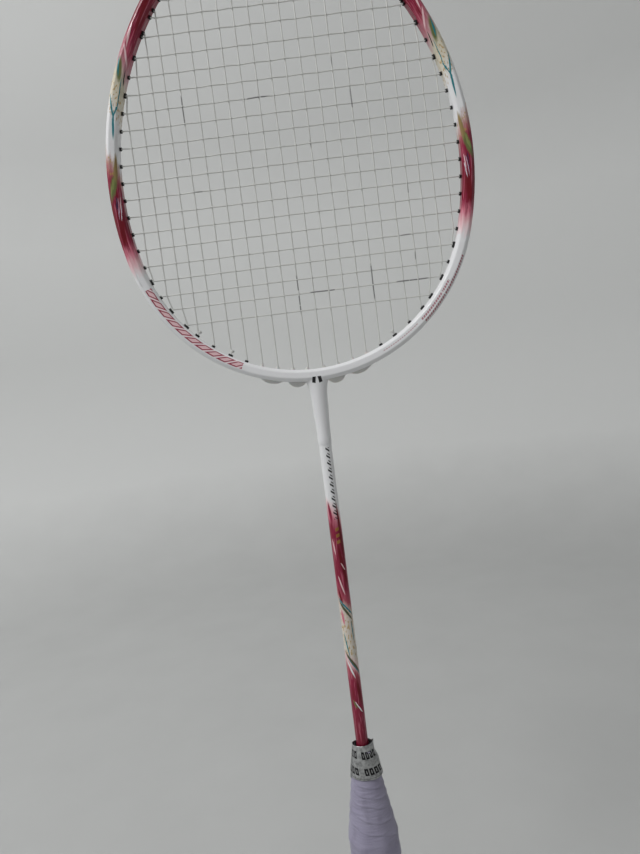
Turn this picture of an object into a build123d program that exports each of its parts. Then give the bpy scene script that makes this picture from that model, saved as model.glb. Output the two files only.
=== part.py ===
"""A strung badminton racket, upright on its butt end.

X runs across the head, Y is square to the string bed and Z runs along the shaft. The origin is the
centre of the butt cap's end face. Each physical piece is a solid in its own STEP file.
"""

from build123d import *
import math
import os

# ---------------------------------------------------------------------------------------------
# Driving dimensions, in millimetres and degrees
# ---------------------------------------------------------------------------------------------
OVERALL_LENGTH = 674.0

# The hoop's centre line, from the throat up one side: tangent arcs of (radius, turn). The last arc,
# over the top, closes the hoop, so its radius follows from the others.
HOOP_ARCS = [(92.9, 74.5), (162.9, 51.0), (69.9, 38.0)]
TUBE_WIDTH = 6.6  # in the plane of the strings
TUBE_DEPTH = 9.6  # square to it
GROOVE_WIDTH = 3.4
GROOVE_DEPTH = 1.4

SHAFT_DIAMETER = 7.0
SHAFT_BORE = 4.6
SHAFT_FOOT = 60.0  # how far the glued end stops above the butt
SHAFT_TOP = 430.5
SHOULDER_FOOT = 395.0  # where the throat shoulder has thinned down to the shaft

STRING_DIAMETER = 0.7
GENTLE_BEND = 2.0  # radius where a string weaves
SHARP_BEND = 0.7  # radius where it turns over the rim of a grommet
WEAVE = 0.36  # how far a string's centre swings to pass over or under another
LANE = 0.38  # mains keep to +LANE and crosses to -LANE in the holes and the groove
TAIL_LANE = 1.13  # the mains' tails lie beside the mains' loops
FIRST_MAIN = 4.15  # half the gap of the two middle mains
MAIN_GAPS = 5 * [8.2] + [8.7, 7.9, 7.0, 7.35, 7.9]
FIRST_CROSS = 469.7
CROSS_GAPS = [9.3, 7.8, 8.7, 8.2] + 11 * [9.12] + [9.6, 10.4, 9.4, 8.4, 10.8]

GROMMET_DIAMETER = 2.0
GROMMET_BORE = 1.5
GROMMET_TIP = 1.1  # how far a tip stands inside the hoop
FLANGE_WIDTH = 2.9
FLANGE_THICKNESS = 0.45
SHARED_LENGTH = 2.7
LONG_LENGTH = 3.4

BUMP_THICKNESS = 3.4  # of the throat grommets' saddles
CHANNEL_WIDTH = 0.9
CHANNEL_DEPTH = 1.15

CONE_FOOT = 168.0
CONE_TOP = 222.0
RIM_WIDTH = 11.0  # over the overgrip at the top of the cone
GRIP_WIDTH = 28.5
GRIP_DEPTH = 26.5
FLARE_WIDTH = 31.6
FLARE_DEPTH = 29.6
FLARE_TOP = 18.0
OVERGRIP_THICKNESS = 0.8
BASE_GRIP_THICKNESS = 1.9
BASE_GRIP_TOP = 196.0
TAPE_THICKNESS = 0.15
TAPE_FOOT = 203.5
END_TAPE_FOOT = 184.0
OVERGRIP_TOP = 219.0

CAP_THICKNESS = 4.0
CAP_WIDTH = 30.6
CAP_DEPTH = 28.6
BADGE_DIAMETER = 15.0
BADGE_THICKNESS = 0.4
CORE_BORE = 12.0
CORE_BORE_TOP = 54.0
STAPLE_WIRE = 1.0
STAPLE_CROWN = 10.0
STAPLE_LEG = 9.0
STAPLE_OFFSET = 11.0

HALF_TUBE = TUBE_WIDTH / 2
GROOVE_FLOOR = HALF_TUBE - GROOVE_DEPTH
TIP_OFFSET = -(HALF_TUBE + GROMMET_TIP)
STRING_IN = TIP_OFFSET - 0.4  # where a string turns into its grommet
STRING_OUT = GROOVE_FLOOR + FLANGE_THICKNESS + STRING_DIAMETER / 2 + 0.05
MAINS = 11  # on each side of the axis
CROSSES = len(CROSS_GAPS) + 1


# ---------------------------------------------------------------------------------------------
# The hoop's centre line. A place on it is named by its heading, the direction of travel up the
# right side: 0 at the throat, 90 at the widest part and 180 at the top.
# ---------------------------------------------------------------------------------------------
def hoop_arcs():
    """(centre x, centre z, radius, first heading, last heading) of each arc of the right side."""
    radius, turn = HOOP_ARCS[0]
    arcs = [(0.0, radius, radius, 0.0, turn)]
    for next_radius, next_turn in HOOP_ARCS[1:]:
        x, z, radius, _, heading = arcs[-1]
        step = radius - next_radius
        x += step * math.sin(math.radians(heading))
        z -= step * math.cos(math.radians(heading))
        arcs.append((x, z, next_radius, heading, heading + next_turn))
    x, z, radius, _, heading = arcs[-1]
    step = -x / math.sin(math.radians(heading))
    z -= step * math.cos(math.radians(heading))
    arcs.append((0.0, z, radius - step, heading, 180.0))
    lift = OVERALL_LENGTH - HALF_TUBE - (arcs[-1][1] + arcs[-1][2])
    return [(x, z + lift, radius, first, last) for x, z, radius, first, last in arcs]


ARCS = hoop_arcs()


def hoop_point(heading, offset):
    """The point (x, z) at a heading, an offset outside the tube's centre line."""
    for x, z, radius, _, last in ARCS:
        if heading <= last + 1e-6:
            angle = math.radians(heading)
            reach = radius + offset
            return (x + reach * math.sin(angle), z - reach * math.cos(angle))
    raise ValueError("heading past the top of the hoop")


def heading_where(measure, wanted, low, high, offset):
    """The heading between low and high where measure(point) reaches the wanted value."""
    rising = measure(hoop_point(high, offset)) > measure(hoop_point(low, offset))
    for _ in range(50):
        middle = (low + high) / 2
        if (measure(hoop_point(middle, offset)) < wanted) == rising:
            low = middle
        else:
            high = middle
    return (low + high) / 2


def at_height(z, offset):
    return heading_where(lambda point: point[1], z, 0.0, 180.0, offset)


def at_width(x, offset, top):
    low, high = (90.0, 180.0) if top else (0.0, 90.0)
    return heading_where(lambda point: point[0], x, low, high, offset)


# ---------------------------------------------------------------------------------------------
# String holes of the right side. Each is (heading at the groove, heading at the tip).
# ---------------------------------------------------------------------------------------------
main_x = [FIRST_MAIN]
for gap in MAIN_GAPS:
    main_x.append(main_x[-1] + gap)
cross_z = [FIRST_CROSS]
for gap in CROSS_GAPS:
    cross_z.append(cross_z[-1] + gap)

MIDDLE_MAIN_EXIT = 7.9  # the two middle mains slant outward past the throat shoulder
SHARED_FOOT = {11: 3, 10: 1, 9: 0}  # main: the cross whose hole its foot shares
SHARED_HEAD = {11: 14, 10: 16}

cross_hole = [2 * (at_height(z, STRING_IN),) for z in cross_z]
main_foot = {}
main_head = {}
for number, x in enumerate(main_x, start=1):
    foot = at_width(x, STRING_IN, top=False)
    head = at_width(x, STRING_IN, top=True)
    main_foot[number] = cross_hole[SHARED_FOOT[number]] if number in SHARED_FOOT else (foot, foot)
    main_head[number] = cross_hole[SHARED_HEAD[number]] if number in SHARED_HEAD else (head, head)
main_foot[1] = (at_width(MIDDLE_MAIN_EXIT, GROOVE_FLOOR, top=False), main_foot[1][1])

TIE_OFF_FOOT = 6  # the mains' tails come back in beside this main
CROSS_TIE_FOOT = 8
CROSS_TIE_HEAD = 6
WIDE_FEET = (TIE_OFF_FOOT, CROSS_TIE_FOOT)
# Which mains share a saddle, its middle along X, half its width and its rise over the hoop.
THROAT_PAIRS = {"inner": (1, 2, 10.9, 4.9, 3.0), "outer": (3, 4, 24.8, 5.9, 1.9)}

long_holes = [main_foot[number] for number in SHARED_FOOT]
shared_holes = [main_head[number] for number in SHARED_HEAD]
shared_holes += [main_foot[number] for number in WIDE_FEET] + [main_head[CROSS_TIE_HEAD]]
side_holes = [hole for hole in cross_hole if hole not in long_holes and hole not in shared_holes]
top_holes = [main_head[number] for number in range(1, 10) if number != CROSS_TIE_HEAD]
lower_holes = [main_foot[number] for number in (5, 7)]
throat_holes = [main_foot[number] for number in range(1, 5)]


def hole_point(hole, offset, side=1, y=0.0):
    """A point on a hole's axis. The axis runs straight from the groove's floor to the tip."""
    outer = hoop_point(hole[0], GROOVE_FLOOR)
    tip = hoop_point(hole[1], TIP_OFFSET)
    share = (offset - GROOVE_FLOOR) / (TIP_OFFSET - GROOVE_FLOOR)
    x = outer[0] + share * (tip[0] - outer[0])
    z = outer[1] + share * (tip[1] - outer[1])
    return Vector(side * x, y, z)


def hole_plane(hole):
    """On the groove's floor, looking in along the hole, with x along the hoop and y along Y."""
    floor = hole_point(hole, GROOVE_FLOOR)
    inward = hole_point(hole, TIP_OFFSET) - floor
    return Plane(origin=floor, x_dir=Vector(0, 1, 0).cross(inward), z_dir=inward)


def hole_length(hole):
    return (hole_point(hole, TIP_OFFSET) - hole_point(hole, GROOVE_FLOOR)).length


def both_sides(solids):
    """The solids and their mirror images in the racket's middle plane."""
    return solids + [mirror(solid, about=Plane.YZ) for solid in solids]


# ---------------------------------------------------------------------------------------------
# Head frame, with its moulded throat shoulder, and the joint inside it
# ---------------------------------------------------------------------------------------------
def hoop_wire(first, last):
    """The centre line of the right side between two headings."""
    edges = []
    for _, _, _, low, high in ARCS:
        start, end = max(first, low), min(last, high)
        if end - start > 0.01:
            on_arc = [hoop_point(heading, 0) for heading in (start, (start + end) / 2, end)]
            edges.append(ThreePointArc(*[(x, 0, z) for x, z in on_arc]))
    return Wire(edges)


def tube_section(corners, radii):
    """A section symmetrical in Y, on the hoop's lowest point, from its corners on one side."""
    half = [(offset, y) for offset, y in corners]
    other = [(offset, -y) for offset, y in reversed(corners)]
    outline = FilletPolyline(*half, *other, radius=radii + radii[::-1], close=True)
    foot = hoop_point(0, 0)
    start = Plane(origin=(foot[0], 0, foot[1]), x_dir=(0, 0, -1), z_dir=(1, 0, 0))
    return start * make_face(outline)


def outer_section():
    half_groove = GROOVE_WIDTH / 2
    corners = [
        (-HALF_TUBE, 2.4),
        (-1.9, 4.3),
        (1.5, TUBE_DEPTH / 2),
        (HALF_TUBE, 3.3),
        (HALF_TUBE, half_groove),
        (GROOVE_FLOOR, half_groove),
    ]
    return tube_section(corners, [1.0, 1.4, 1.2, 0.5, 0.25, 0.25])


def hollow_section():
    return tube_section([(-2.2, 1.8), (-1.3, 3.1), (1.0, 3.5)], [0.4, 0.6, 0.4])


def swept_hoop(section):
    half = sweep(section, path=hoop_wire(0, 180))
    return half + mirror(half, about=Plane.YZ)


def slot(length, width):
    return Circle(width / 2) if length <= width else SlotOverall(length, width)


def barrel(hole, length):
    return extrude(hole_plane(hole) * slot(length, GROMMET_DIAMETER), amount=hole_length(hole))


def throat_shoulder():
    """Oval and flared where it leaves the hoop, and round where it meets the shaft."""
    stations = [
        (434.5, 7.6, 4.6),
        (431.5, 6.5, 4.6),
        (428.5, 5.55, 4.5),
        (425.5, 4.95, 4.4),
        (420.0, 4.55, 4.25),
        (408.0, 4.05, 3.95),
        (SHOULDER_FOOT, 3.62, 3.62),
    ]
    return loft([Plane.XY.offset(z) * Ellipse(half_x, half_y) for z, half_x, half_y in stations])


def head_frame():
    frame = swept_hoop(outer_section()) + throat_shoulder()
    frame -= swept_hoop(hollow_section())
    bore = Plane.XY.offset(SHOULDER_FOOT) * Circle(SHAFT_DIAMETER / 2)
    frame -= extrude(bore, amount=SHAFT_TOP - SHOULDER_FOOT)
    neck = Plane.XY.offset(SHAFT_TOP) * Circle(SHAFT_BORE / 2)
    frame -= extrude(neck, amount=2.6)
    round_holes = side_holes + top_holes + lower_holes + throat_holes
    drills = [barrel(hole, GROMMET_DIAMETER) for hole in round_holes]
    drills += [barrel(hole, SHARED_LENGTH) for hole in shared_holes]
    drills += [barrel(hole, LONG_LENGTH) for hole in long_holes]
    drills += [throat_saddle(pair) for pair in THROAT_PAIRS]
    # The inner saddles cut a slip of the shoulder loose in the groove, and it is dropped.
    return (frame - both_sides(drills)).solids().sort_by(SortBy.VOLUME)[-1]


def t_joint():
    """A moulded bar inside the hoop's hollow with a stem glued into the shaft."""
    bar = sweep(hollow_section(), path=hoop_wire(0, 10))
    bar += mirror(bar, about=Plane.YZ)
    stem_foot = SHAFT_TOP - 32
    stem = extrude(Plane.XY.offset(stem_foot) * Circle(SHAFT_BORE / 2), amount=SHAFT_TOP + 2.6 - stem_foot)
    drills = both_sides([barrel(hole, GROMMET_DIAMETER) for hole in throat_holes])
    return bar + stem - drills


# ---------------------------------------------------------------------------------------------
# Grommets
# ---------------------------------------------------------------------------------------------
def grommet(hole, length):
    """A barrel through the tube with a flange in the groove. A shared one is long along the hoop."""
    plane = hole_plane(hole)
    reach = hole_length(hole)
    widen = length - GROMMET_DIAMETER
    body = extrude(plane * slot(length, GROMMET_DIAMETER), amount=reach)
    body += extrude(plane * slot(FLANGE_WIDTH + widen, FLANGE_WIDTH), amount=-FLANGE_THICKNESS)
    bore = slot(GROMMET_BORE + widen, GROMMET_BORE)
    return body - extrude(plane.offset(-1) * bore, amount=reach + 2)


def grommets(holes, length):
    return both_sides([grommet(hole, length) for hole in holes])


def saddle_arc(pair, sink):
    """Centre and radius, in the XZ plane, of a saddle's crest, sunk by an amount."""
    _, _, middle, half_width, rise = THROAT_PAIRS[pair]
    heading = at_width(middle, HALF_TUBE, top=False)
    radius = (half_width**2 + rise**2) / (2 * rise)
    centre = hoop_point(heading, HALF_TUBE + rise - radius)
    return centre, radius - sink


def saddle_disc(pair, sink, thickness):
    centre, radius = saddle_arc(pair, sink)
    disc = Plane.XZ * Pos(centre[0], centre[1]) * Circle(radius)
    return extrude(disc, amount=thickness / 2, both=True)


def throat_saddle(pair):
    """The rounded block that carries a pair of strings over the outside of the throat."""
    x, z, radius, _, _ = ARCS[0]
    inside = extrude(Plane.XZ * Pos(x, z) * Circle(radius + GROOVE_FLOOR), amount=BUMP_THICKNESS, both=True)
    return saddle_disc(pair, 0, BUMP_THICKNESS) - inside


def throat_grommet(pair):
    """Two barrels on one saddle, with a channel over the saddle's crest for the string."""
    body = throat_saddle(pair)
    bores = []
    for number in THROAT_PAIRS[pair][:2]:
        hole = main_foot[number]
        body += barrel(hole, GROMMET_DIAMETER)
        through = hole_plane(hole).offset(-6) * Circle(GROMMET_BORE / 2)
        bores.append(extrude(through, amount=hole_length(hole) + 7))
    channel = saddle_disc(pair, -1, CHANNEL_WIDTH) - saddle_disc(pair, CHANNEL_DEPTH, CHANNEL_WIDTH)
    return body - bores - Pos(0, LANE, 0) * channel


# ---------------------------------------------------------------------------------------------
# Strings
# ---------------------------------------------------------------------------------------------
def groove_run(start, end, side, lane):
    """Points along the groove between two holes, one about every 9 mm, without its ends."""
    length = (hole_point(end, 0) - hole_point(start, 0)).length
    count = max(1, round(length / 9.0))
    points = []
    for step in range(1, count):
        heading = start[0] + (end[0] - start[0]) * step / count
        x, z = hoop_point(heading, STRING_OUT)
        points.append(Vector(side * x, lane, z))
    return points


def saddle_run(start, end, pair, side):
    """Points over a throat saddle: where each bore meets the channel, and the crest between."""
    centre, radius = saddle_arc(pair, STRING_DIAMETER / 2 + 0.1)
    points = []
    for hole in (start, end):
        tip, floor = hole_point(hole, TIP_OFFSET), hole_point(hole, GROOVE_FLOOR)
        along = (floor - tip).normalized()
        back = tip - Vector(centre[0], 0, centre[1])
        dot = back.dot(along)
        travel = -dot + math.sqrt(dot**2 - back.dot(back) + radius**2)
        meet = tip + along * travel
        points.append(Vector(side * meet.X, LANE, meet.Z))
    crest = (points[0] + points[1]) * 0.5 - Vector(side * centre[0], LANE, centre[1])
    crest = Vector(side * centre[0], LANE, centre[1]) + crest.normalized() * radius
    return [points[0], crest, points[1]]


def weave_sign(main_index, cross_index):
    return 1 if (main_index + cross_index) % 2 == 0 else -1


def crosses_of(number):
    """The crosses that a main passes over or under, from its foot up."""
    low = hole_point(main_foot[number], STRING_IN).Z
    high = hole_point(main_head[number], STRING_IN).Z
    x = main_x[number - 1]
    found = []
    for index, z in enumerate(cross_z):
        reach = hole_point(cross_hole[index], STRING_IN).X
        if low + 0.5 < z < high - 0.5 and reach > x + 0.5:
            found.append(index)
    return found


def main_index(side, number):
    """Mains counted from the left edge, 0 to 21."""
    return MAINS - number if side < 0 else MAINS - 1 + number


def main_run(side, number):
    """One main from its foot to its head, weaving past the crosses."""
    x = side * main_x[number - 1]
    points = [hole_point(main_foot[number], STRING_IN, side, LANE)]
    for index in crosses_of(number):
        sign = weave_sign(main_index(side, number), index)
        points.append(Vector(x, sign * WEAVE, cross_z[index]))
    points.append(hole_point(main_head[number], STRING_IN, side, LANE))
    return points


def main_tail(side):
    """From the tie-off main's foot, out through its grommet and along the groove to main 11."""
    tie, parting, target = main_foot[TIE_OFF_FOOT], main_foot[7], main_foot[11]
    points = [
        hole_point(tie, STRING_IN - 0.9, side, -LANE),
        hole_point(tie, STRING_OUT, side, -LANE),
    ]
    for heading_share in range(1, 7):
        heading = parting[0] + (target[0] - parting[0]) * (heading_share - 1) / 6
        x, z = hoop_point(heading, STRING_OUT)
        points.append(Vector(side * x, TAIL_LANE, z))
    return points


def saddle_under(number, next_number):
    """The throat saddle that carries the loop between two mains, if one does."""
    for pair, row in THROAT_PAIRS.items():
        if {number, next_number} == set(row[:2]):
            return pair
    return None


def main_route():
    """The whole main string, from the left tie-off to the right one."""
    order = [(-1, number) for number in range(MAINS, 0, -1)] + [(1, number) for number in range(1, MAINS + 1)]
    route = main_tail(-1)
    route.append(hole_point(main_foot[MAINS], STRING_OUT, -1, LANE))
    for place, (side, number) in enumerate(order):
        upward = place % 2 == 0
        run = main_run(side, number)
        route += run if upward else run[::-1]
        if place + 1 == len(order):
            break
        next_side, next_number = order[place + 1]
        ends = main_head if upward else main_foot
        here, there = ends[number], ends[next_number]
        pair = saddle_under(number, next_number)
        if pair and not upward:
            route += saddle_run(here, there, pair, side)
            continue
        route.append(hole_point(here, STRING_OUT, side, LANE))
        if side == next_side:
            route += groove_run(here, there, side, LANE)
        route.append(hole_point(there, STRING_OUT, next_side, LANE))
    route.append(hole_point(main_foot[MAINS], STRING_OUT, 1, LANE))
    return route + main_tail(1)[::-1]


def cross_run(index):
    """One cross from left to right."""
    points = [hole_point(cross_hole[index], STRING_IN, -1, -LANE)]
    passed = []
    for side in (-1, 1):
        for number in range(1, MAINS + 1):
            if index in crosses_of(number):
                passed.append((side * main_x[number - 1], main_index(side, number)))
    for x, column in sorted(passed):
        points.append(Vector(x, -weave_sign(column, index) * WEAVE, cross_z[index]))
    points.append(hole_point(cross_hole[index], STRING_IN, 1, -LANE))
    return points


def cross_route():
    """The whole cross string, from its lower left tie-off to its upper right one."""
    tie = main_foot[CROSS_TIE_FOOT]
    route = [hole_point(tie, STRING_IN - 0.9, -1, -LANE), hole_point(tie, STRING_OUT, -1, -LANE)]
    route += groove_run(tie, cross_hole[0], -1, -LANE)
    route.append(hole_point(cross_hole[0], STRING_OUT, -1, -LANE))
    for index in range(CROSSES):
        rightward = index % 2 == 0
        run = cross_run(index)
        route += run if rightward else run[::-1]
        side = 1 if rightward else -1
        route.append(hole_point(cross_hole[index], STRING_OUT, side, -LANE))
        last = index + 1 == CROSSES
        following = main_head[CROSS_TIE_HEAD] if last else cross_hole[index + 1]
        route += groove_run(cross_hole[index], following, side, -LANE)
        route.append(hole_point(following, STRING_OUT, side, -LANE))
    route.append(hole_point(main_head[CROSS_TIE_HEAD], STRING_IN - 0.9, 1, -LANE))
    return route


def tangent_path(points):
    """Straight runs joined by tangent arcs: gentle where the string weaves, sharp at a grommet."""
    edges = []
    start = points[0]
    for before, corner, after in zip(points, points[1:], points[2:]):
        back, ahead = before - corner, after - corner
        half_turn = math.radians(180 - back.get_angle(ahead)) / 2
        if half_turn < 1e-4:
            continue
        radius = SHARP_BEND if half_turn > math.radians(18) else GENTLE_BEND
        cut = min(0.45 * min(back.length, ahead.length), radius * math.tan(half_turn))
        into, out = corner + back.normalized() * cut, corner + ahead.normalized() * cut
        sag = cut / math.tan(half_turn) * (1 / math.cos(half_turn) - 1)
        middle = corner + (back.normalized() + ahead.normalized()).normalized() * sag
        edges.append(Edge.make_line(start, into))
        edges.append(Edge.make_three_point_arc(into, middle, out))
        start = out
    edges.append(Edge.make_line(start, points[-1]))
    return Wire(edges)


def string(route):
    path = tangent_path(route)
    section = Plane(origin=route[0], z_dir=route[1] - route[0]) * Circle(STRING_DIAMETER / 2)
    cord = sweep(section, path=path)
    stated = math.pi * (STRING_DIAMETER / 2) ** 2 * path.length
    print(f"string of {path.length:.0f} mm, volume {cord.volume:.1f} of {stated:.1f} mm3")
    return cord


def tie_off_knots():
    """Two turns of each tail round the string that it is tied to, just inside the hoop."""
    places = [(main_foot[TIE_OFF_FOOT], side) for side in (-1, 1)]
    places += [(main_foot[CROSS_TIE_FOOT], -1), (main_head[CROSS_TIE_HEAD], 1)]
    knots = []
    for hole, side in places:
        start = hole_point(hole, STRING_IN - 1.2, side, 0)
        inward = (hole_point(hole, STRING_IN - 2, side, 0) - start).normalized()
        turns = [
            Plane(origin=start + inward * rise, z_dir=inward) * Torus(0.75, STRING_DIAMETER / 2)
            for rise in (0.0, 0.6)
        ]
        knots.append(turns[0] + turns[1])
    strings = [string(main_route()), string(cross_route())]
    # Where a string pinches a turn it can cut a crumb off, which is dropped.
    return [(knot - strings).solids().sort_by(SortBy.VOLUME)[-1] for knot in knots]


# ---------------------------------------------------------------------------------------------
# Shaft, handle and its layers
# ---------------------------------------------------------------------------------------------
def octagon(z, width, depth, roundness=0.55):
    """A rounded octagon. Roundness 1 would be a circle on an equal width and depth."""
    chamfer_share = 1 - math.sqrt(0.5)
    cut = chamfer_share * min(width, depth)
    x, y = width / 2, depth / 2
    corners = [(x, y - cut), (x - cut, y), (cut - x, y), (-x, y - cut)]
    corners += [(-u, -v) for u, v in corners]
    outline = FilletPolyline(*corners, radius=roundness * min(x, y), close=True)
    return Plane.XY.offset(z) * make_face(outline)


def overgrip_size(z):
    """Width and depth of the overgrip's outside at a height."""
    if z >= CONE_FOOT:
        share = (z - CONE_FOOT) / (CONE_TOP - CONE_FOOT)
        return (
            GRIP_WIDTH + share * (RIM_WIDTH - GRIP_WIDTH),
            GRIP_DEPTH + share * (RIM_WIDTH - GRIP_DEPTH),
        )
    share = max(0.0, (FLARE_TOP - z) / (FLARE_TOP - CAP_THICKNESS))
    return (
        GRIP_WIDTH + share * (FLARE_WIDTH - GRIP_WIDTH),
        GRIP_DEPTH + share * (FLARE_DEPTH - GRIP_DEPTH),
    )


def roundness_at(z):
    """The octagon of the grip turns round towards the top of the cone."""
    share = min(1.0, max(0.0, (z - CONE_FOOT) / (CONE_TOP - CONE_FOOT)))
    return 0.55 + 0.3 * share


def handle_section(z, inset):
    """The overgrip's outline at a height, brought in by an inset on every side."""
    width, depth = overgrip_size(z)
    return octagon(z, width - 2 * inset, depth - 2 * inset, roundness_at(z))


def frustum(low, low_inset, high, high_inset):
    return loft([handle_section(low, low_inset), handle_section(high, high_inset)], ruled=True)


def handle_body(inset, low, high):
    """Everything inside the overgrip's outline, brought in by an inset, between two heights."""
    stations = [CAP_THICKNESS, FLARE_TOP, CONE_FOOT, CONE_TOP]
    pieces = [frustum(foot, inset, head, inset) for foot, head in zip(stations, stations[1:])]
    slab = Pos(0, 0, (low + high) / 2) * Box(2 * FLARE_WIDTH, 2 * FLARE_WIDTH, high - low)
    return (pieces[0] + pieces[1] + pieces[2]) & slab


def sleeve(outer_inset, inner_inset, low, high):
    return handle_body(outer_inset, low, high) - handle_body(inner_inset, low, high)


UNDER_OVERGRIP = OVERGRIP_THICKNESS
UNDER_BASE_GRIP = OVERGRIP_THICKNESS + BASE_GRIP_THICKNESS
CONE_STEP = UNDER_OVERGRIP + 0.7  # the base grip is pared thin where it ends on the cone
CORE_FOOT = CAP_THICKNESS
CONE_WALL = 1.3


def shaft():
    tube = Circle(SHAFT_DIAMETER / 2) - Circle(SHAFT_BORE / 2)
    return extrude(Plane.XY.offset(SHAFT_FOOT) * tube, amount=SHAFT_TOP - SHAFT_FOOT)


def pared_cone():
    """The cone's outside under the base grip, which is pared thin towards its end."""
    return frustum(CONE_FOOT, UNDER_BASE_GRIP, BASE_GRIP_TOP, CONE_STEP)


def handle_core():
    """Octagonal wood, flared at the butt, with a spigot for the cone and a bore from each end."""
    core = handle_body(UNDER_BASE_GRIP, CAP_THICKNESS, CONE_FOOT)
    spigot_foot = handle_section(CONE_FOOT, UNDER_BASE_GRIP + CONE_WALL)
    core += loft([spigot_foot, octagon(CONE_FOOT + 24, 13.4, 13.4, 0.7)], ruled=True)
    core -= extrude(Plane.XY.offset(SHAFT_FOOT) * Circle(SHAFT_DIAMETER / 2), amount=OVERALL_LENGTH)
    core -= extrude(Plane.XY * Circle(CORE_BORE / 2), amount=CORE_BORE_TOP)
    return core - butt_staples()


def cone_cap():
    top = CONE_TOP - 0.5
    outer = pared_cone() + handle_body(UNDER_OVERGRIP, BASE_GRIP_TOP, top)
    mouth = octagon(top, 8.6, 8.6, 0.85)
    return outer - loft([handle_section(CONE_FOOT, UNDER_BASE_GRIP + CONE_WALL), mouth], ruled=True)


def base_grip():
    grip = sleeve(UNDER_OVERGRIP, UNDER_BASE_GRIP, CAP_THICKNESS, CONE_FOOT)
    grip += handle_body(UNDER_OVERGRIP, CONE_FOOT, END_TAPE_FOOT) - pared_cone()
    return grip + (handle_body(UNDER_OVERGRIP + TAPE_THICKNESS, END_TAPE_FOOT, BASE_GRIP_TOP) - pared_cone())


def base_grip_tape():
    return sleeve(UNDER_OVERGRIP, UNDER_OVERGRIP + TAPE_THICKNESS, END_TAPE_FOOT, BASE_GRIP_TOP)


def overgrip():
    return sleeve(0.0, UNDER_OVERGRIP, CAP_THICKNESS, OVERGRIP_TOP)


def finishing_tape():
    return sleeve(-TAPE_THICKNESS, 0.0, TAPE_FOOT, CONE_TOP)


# ---------------------------------------------------------------------------------------------
# Butt end
# ---------------------------------------------------------------------------------------------
def butt_staples():
    """Two flat-crowned staples, let in flush, one each side of the badge."""
    staples = []
    for x in (-STAPLE_OFFSET, STAPLE_OFFSET):
        crown = Pos(x, 0, STAPLE_WIRE / 4) * Box(STAPLE_WIRE, STAPLE_CROWN, STAPLE_WIRE / 2)
        for y in (-1, 1):
            leg_y = y * (STAPLE_CROWN - STAPLE_WIRE) / 2
            crown += Pos(x, leg_y, STAPLE_LEG / 2) * Box(STAPLE_WIRE, STAPLE_WIRE, STAPLE_LEG)
        staples.append(crown)
    return staples


def butt_cap():
    """A plate over the end of the wood with a boss in its bore and a recess for the badge."""
    plate = extrude(octagon(0, CAP_WIDTH, CAP_DEPTH), amount=CAP_THICKNESS)
    plate = fillet(plate.edges().group_by(Axis.Z)[0], 1.2)
    boss = Circle(CORE_BORE / 2) - Circle(CORE_BORE / 2 - 1.5)
    plate += extrude(Plane.XY.offset(CAP_THICKNESS) * boss, amount=6)
    plate -= extrude(Plane.XY * Circle(BADGE_DIAMETER / 2), amount=BADGE_THICKNESS)
    return plate - butt_staples()


def butt_badge():
    return extrude(Plane.XY * Circle(BADGE_DIAMETER / 2), amount=BADGE_THICKNESS)


# ---------------------------------------------------------------------------------------------
# Output
# ---------------------------------------------------------------------------------------------
NODES = {
    "head_frame": head_frame,
    "t_joint": t_joint,
    "shaft": shaft,
    "handle_core": handle_core,
    "cone_cap": cone_cap,
    "base_grip": base_grip,
    "base_grip_tape": base_grip_tape,
    "overgrip": overgrip,
    "finishing_tape": finishing_tape,
    "butt_cap": butt_cap,
    "butt_staples": butt_staples,
    "butt_badge": butt_badge,
    "main_string": lambda: string(main_route()),
    "cross_string": lambda: string(cross_route()),
    "tie_off_knots": tie_off_knots,
    "side_grommets": lambda: grommets(side_holes, GROMMET_DIAMETER),
    "top_grommets": lambda: grommets(top_holes, GROMMET_DIAMETER),
    "lower_grommets": lambda: grommets(lower_holes, GROMMET_DIAMETER),
    "shared_grommets": lambda: grommets(shared_holes, SHARED_LENGTH),
    "long_grommets": lambda: grommets(long_holes, LONG_LENGTH),
    "throat_grommets_inner": lambda: both_sides([throat_grommet("inner")]),
    "throat_grommets_outer": lambda: both_sides([throat_grommet("outer")]),
}


def main():
    os.makedirs("parts", exist_ok=True)
    for name, make in NODES.items():
        made = make()
        solids = made if isinstance(made, list) else [made]
        flat = [solid for item in solids for solid in item.solids()]
        node = flat[0] if len(flat) == 1 else Compound(children=flat)
        node.label = name
        export_step(node, f"parts/{name}.step")


main()
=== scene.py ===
"""Looks for the badminton racket: materials, the wound grip and tape, studio and camera."""

import math

import bpy
from mathutils import Matrix, Vector, noise


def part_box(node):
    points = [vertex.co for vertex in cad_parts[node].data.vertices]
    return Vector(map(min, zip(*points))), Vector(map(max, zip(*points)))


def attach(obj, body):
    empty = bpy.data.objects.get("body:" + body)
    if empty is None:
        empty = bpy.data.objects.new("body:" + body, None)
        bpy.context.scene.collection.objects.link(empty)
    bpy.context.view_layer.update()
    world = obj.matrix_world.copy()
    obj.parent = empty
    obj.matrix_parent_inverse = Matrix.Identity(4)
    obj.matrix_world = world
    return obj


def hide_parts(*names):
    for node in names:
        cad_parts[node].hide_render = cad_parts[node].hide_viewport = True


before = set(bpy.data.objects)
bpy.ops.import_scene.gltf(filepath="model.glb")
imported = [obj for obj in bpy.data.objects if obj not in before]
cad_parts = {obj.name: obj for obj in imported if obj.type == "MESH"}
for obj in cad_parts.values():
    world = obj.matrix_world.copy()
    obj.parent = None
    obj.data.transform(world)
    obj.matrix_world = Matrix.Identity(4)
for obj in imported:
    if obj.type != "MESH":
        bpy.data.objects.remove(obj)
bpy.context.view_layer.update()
scene = bpy.context.scene


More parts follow.
